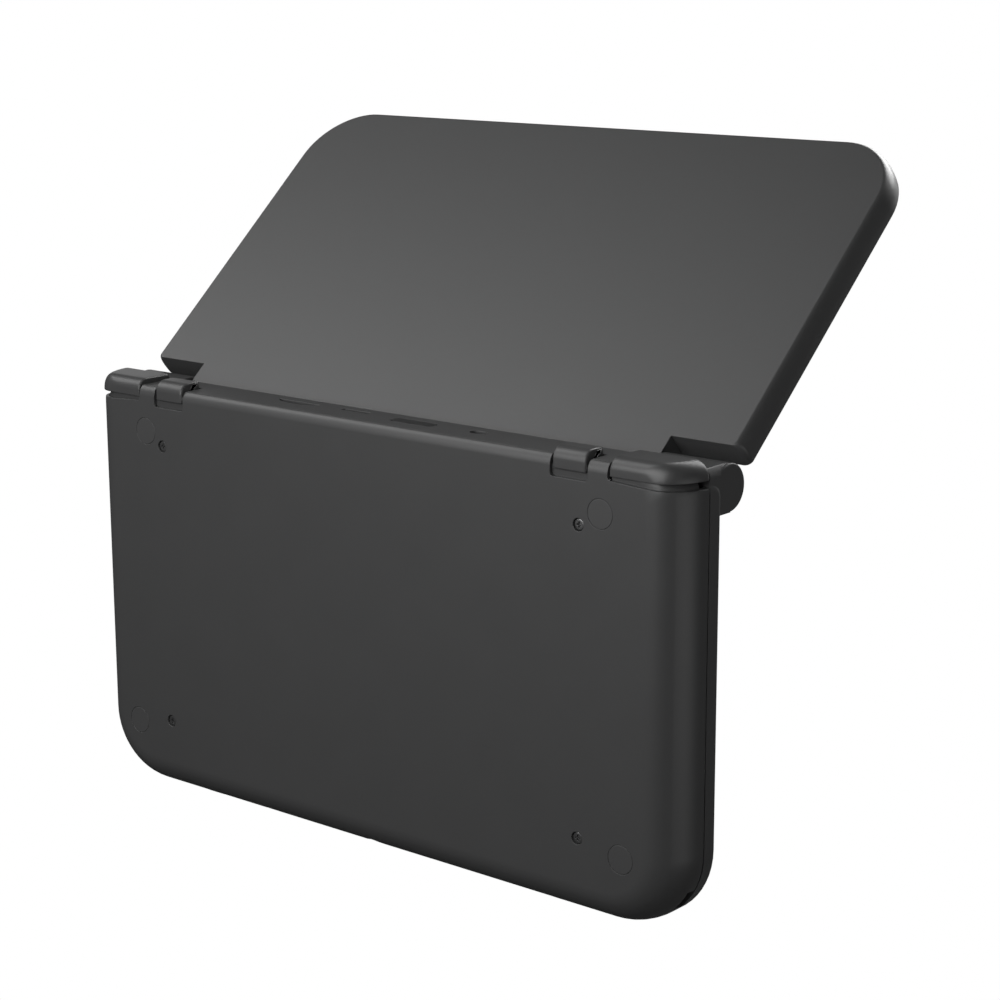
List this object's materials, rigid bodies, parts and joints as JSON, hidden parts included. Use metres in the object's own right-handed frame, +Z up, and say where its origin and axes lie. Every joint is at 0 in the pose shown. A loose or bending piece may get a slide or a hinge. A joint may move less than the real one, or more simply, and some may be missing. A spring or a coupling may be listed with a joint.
{
  "type": "clamshell handheld game console",
  "caption": "Folding handheld game console with two screens, a hinged lid, sprung buttons, slide pad, triggers and a stylus, standing open on its base.",
  "frame": {"origin": "centre of the base's underside", "axes": "+X to the player's right along the hinge, +Y from the player towards the hinge, +Z up out of the deck"},
  "size_m": [0.1606, 0.1459, 0.0833],
  "materials": {
    "shell": "satin dark metallic paint",
    "lid_shell": "satin dark metallic paint",
    "inner_plastic": "fine matt",
    "trigger_plastic": "satin",
    "key_plastic": "soft gloss",
    "screen_glass": "clear gloss over black",
    "panel_metal": "plain",
    "board": "solder mask",
    "cell_wrap": "film",
    "cage_steel": "bare",
    "smoked_plastic": "smoked gloss",
    "clear_plastic": "clear, frosted",
    "rubber_parts": "matt",
    "pin_steel": "ground",
    "screw_steel": "blackened",
    "speaker_metal": "blackened"
  },
  "bodies": {
    "base": {"rear_cover": "shell", "base_top_shell": "shell", "touch_screen_glass": "screen_glass", "touch_screen_panel": "panel_metal", "main_board": "board", "battery": "cell_wrap", "card_slot_cage": "cage_steel", "headphone_jack": "inner_plastic", "charge_port": "inner_plastic", "infrared_window": "smoked_plastic", "power_light": "clear_plastic", "charge_light": "clear_plastic", "nub": "rubber_parts", "strap_pin": "pin_steel", "foot_front_left": "rubber_parts", "foot_front_right": "rubber_parts", "foot_back_left": "rubber_parts", "foot_back_right": "rubber_parts", "cover_screw_front_left": "screw_steel", "cover_screw_front_right": "screw_steel", "cover_screw_back_left": "screw_steel", "cover_screw_back_right": "screw_steel", "hinge_pin_left": "pin_steel", "hinge_pin_right": "pin_steel", "trigger_pin_left": "pin_steel", "trigger_pin_right": "pin_steel"},
    "lid": {"lid_cover": "lid_shell", "lid_bezel": "inner_plastic", "upper_screen_glass": "screen_glass", "upper_screen_panel": "panel_metal", "inner_camera": "smoked_plastic", "speaker_left": "speaker_metal", "speaker_right": "speaker_metal", "lid_bumper_left": "rubber_parts", "lid_bumper_right": "rubber_parts"},
    "slide_pad": {"slide_pad": "rubber_parts"},
    "slide_pad_carrier": {"slide_pad_carrier": "inner_plastic"},
    "cross_pad": {"cross_pad": "key_plastic"},
    "cross_pad_core": {"cross_pad_core": "inner_plastic"},
    "face_button_back": {"face_button_back": "key_plastic"},
    "face_button_front": {"face_button_front": "key_plastic"},
    "face_button_left": {"face_button_left": "key_plastic"},
    "face_button_right": {"face_button_right": "key_plastic"},
    "start_button": {"start_button": "key_plastic"},
    "select_button": {"select_button": "key_plastic"},
    "home_button": {"home_button": "key_plastic"},
    "power_button": {"power_button": "key_plastic"},
    "stylus": {"stylus": "inner_plastic"},
    "inner_trigger_left": {"inner_trigger_left": "trigger_plastic"},
    "inner_trigger_right": {"inner_trigger_right": "trigger_plastic"},
    "shoulder_trigger_left": {"shoulder_trigger_left": "trigger_plastic"},
    "shoulder_trigger_right": {"shoulder_trigger_right": "trigger_plastic"},
    "volume_slider": {"volume_slider": "key_plastic"},
    "depth_slider": {"depth_slider": "key_plastic"}
  },
  "joints": [
    {"name": "lid_hinge", "type": "hinge", "parent": "base", "child": "lid", "pos_m": [0, 0.04, 0.0168], "axis": [1, 0, 0], "range_deg": [-24, 131]},
    {"name": "volume_slider_slide", "type": "slide", "parent": "lid", "child": "volume_slider", "axis": [0, 0.6587, 0.7524], "range_m": [-0.003, 0.003]},
    {"name": "depth_slider_slide", "type": "slide", "parent": "lid", "child": "depth_slider", "axis": [0, 0.6587, 0.7524], "range_m": [-0.003, 0.003]},
    {"name": "slide_pad_forward", "type": "slide", "parent": "base", "child": "slide_pad_carrier", "axis": [0, 1, 0], "range_m": [-0.0024, 0.0024], "stiffness_N_per_m": 150},
    {"name": "slide_pad_sideways", "type": "slide", "parent": "slide_pad_carrier", "child": "slide_pad", "axis": [1, 0, 0], "range_m": [-0.0024, 0.0024], "stiffness_N_per_m": 150},
    {"name": "cross_pad_rock", "type": "hinge", "parent": "base", "child": "cross_pad_core", "pos_m": [-0.0615, -0.014, 0.0106], "axis": [1, 0, 0], "range_deg": [-4, 4], "stiffness_Nm_per_rad": 0.14},
    {"name": "cross_pad_roll", "type": "hinge", "parent": "cross_pad_core", "child": "cross_pad", "pos_m": [-0.0615, -0.014, 0.0106], "axis": [0, 1, 0], "range_deg": [-4, 4], "stiffness_Nm_per_rad": 0.14},
    {"name": "face_button_back_press", "type": "slide", "parent": "base", "child": "face_button_back", "axis": [0, 0, -1], "range_m": [0, 0.0008], "stiffness_N_per_m": 1250},
    {"name": "face_button_front_press", "type": "slide", "parent": "base", "child": "face_button_front", "axis": [0, 0, -1], "range_m": [0, 0.0008], "stiffness_N_per_m": 1250},
    {"name": "face_button_left_press", "type": "slide", "parent": "base", "child": "face_button_left", "axis": [0, 0, -1], "range_m": [0, 0.0008], "stiffness_N_per_m": 1250},
    {"name": "face_button_right_press", "type": "slide", "parent": "base", "child": "face_button_right", "axis": [0, 0, -1], "range_m": [0, 0.0008], "stiffness_N_per_m": 1250},
    {"name": "start_button_press", "type": "slide", "parent": "base", "child": "start_button", "axis": [0, 0, -1], "range_m": [0, 0.0006], "stiffness_N_per_m": 1250},
    {"name": "select_button_press", "type": "slide", "parent": "base", "child": "select_button", "axis": [0, 0, -1], "range_m": [0, 0.0006], "stiffness_N_per_m": 1250},
    {"name": "home_button_press", "type": "slide", "parent": "base", "child": "home_button", "axis": [0, 0, -1], "range_m": [0, 0.0006], "stiffness_N_per_m": 1250},
    {"name": "power_button_press", "type": "slide", "parent": "base", "child": "power_button", "axis": [0, 1, 0], "range_m": [0, 0.0004], "stiffness_N_per_m": 1250},
    {"name": "stylus_slide", "type": "slide", "parent": "base", "child": "stylus", "axis": [0, -1, 0], "range_m": [0, 0.078]},
    {"name": "inner_trigger_left_press", "type": "slide", "parent": "base", "child": "inner_trigger_left", "axis": [0, -1, 0], "range_m": [0, 0.0012], "stiffness_N_per_m": 900},
    {"name": "shoulder_trigger_left_press", "type": "hinge", "parent": "base", "child": "shoulder_trigger_left", "pos_m": [-0.0616, 0.0409, 0.0055], "axis": [0, 0, 1], "range_deg": [0, 3], "stiffness_Nm_per_rad": 0.34},
    {"name": "inner_trigger_right_press", "type": "slide", "parent": "base", "child": "inner_trigger_right", "axis": [0, -1, 0], "range_m": [0, 0.0012], "stiffness_N_per_m": 900},
    {"name": "shoulder_trigger_right_press", "type": "hinge", "parent": "base", "child": "shoulder_trigger_right", "pos_m": [0.0616, 0.0409, 0.0055], "axis": [0, 0, 1], "range_deg": [-3, 0], "stiffness_Nm_per_rad": 0.34}
  ]
}
